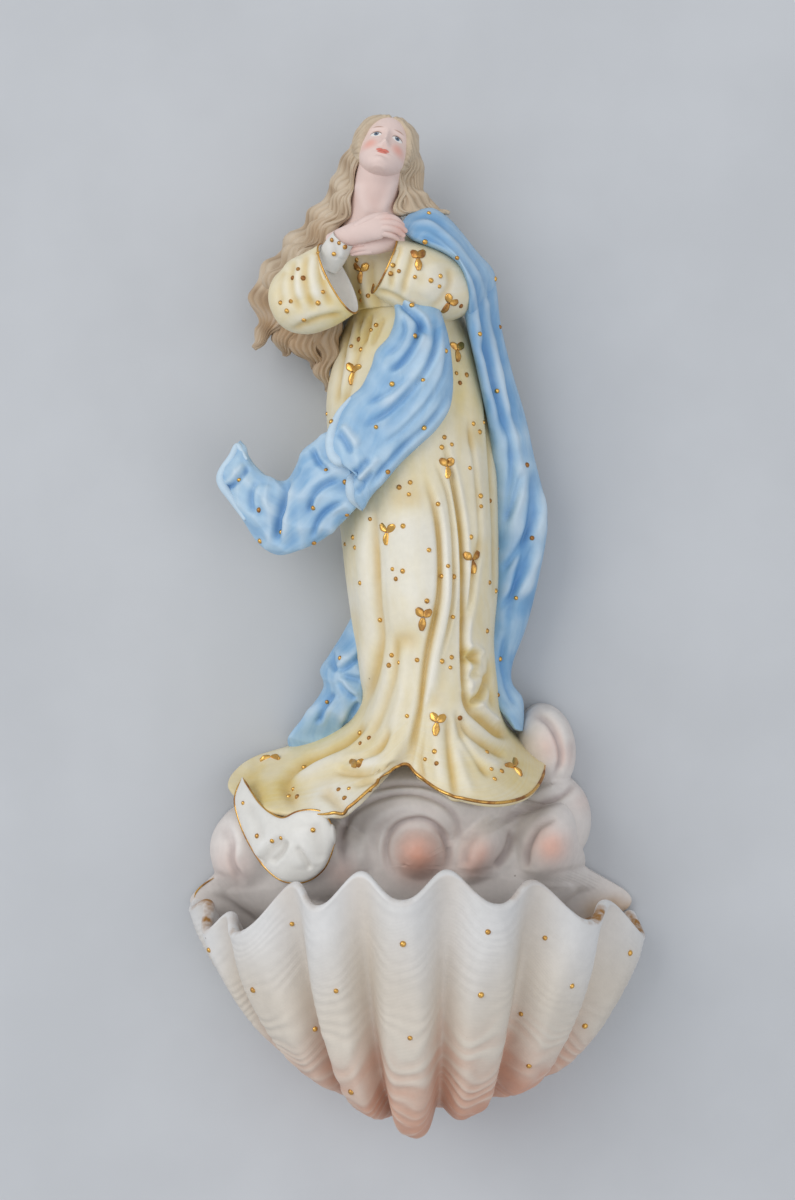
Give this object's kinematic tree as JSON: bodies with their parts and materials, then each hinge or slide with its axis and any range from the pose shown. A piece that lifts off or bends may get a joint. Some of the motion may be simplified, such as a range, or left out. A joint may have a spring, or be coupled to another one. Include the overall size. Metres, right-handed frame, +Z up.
{
  "type": "holy water stoup",
  "caption": "Wall-hung holy water stoup in tinted bisque porcelain: a robed figure in a mantle stands on a bank of cloud above a ribbed scallop shell bowl with a flat back.",
  "frame": {"origin": "middle of the nail hole, in the plane of the flat back", "axes": "+Z up along the figure, +Y out of the flat back into the wall, so the front faces -Y and +X is to the viewer's right"},
  "size_m": [0.146, 0.0769, 0.3039],
  "materials": {
    "robe": "cream bisque with ochre tint in the folds",
    "white": "white bisque",
    "shell": "white bisque shaded to salmon at the base",
    "cloud": "grey mauve bisque with pink bosses",
    "skin": "flesh tinted bisque",
    "hair": "ash brown bisque",
    "mantle": "sky blue bisque, darker in the folds",
    "gilding": "fired gold, bright"
  },
  "bodies": {
    "root": {"robe_bodice": "robe", "robe_skirt": "robe", "right_sleeve": "robe", "left_sleeve": "robe", "right_undersleeve": "white", "hem_lining": "white", "shell_bowl": "shell", "cloud_bank": "cloud", "head": "skin", "neck": "skin", "left_hand": "skin", "right_hand": "skin", "hair_cap": "hair", "hair_fall": "hair", "hair_lock": "hair", "mantle_shoulder": "mantle", "mantle_fall": "mantle", "mantle_swag": "mantle", "mantle_flying_end": "mantle", "mantle_tail": "mantle"}
  },
  "joints": []
}
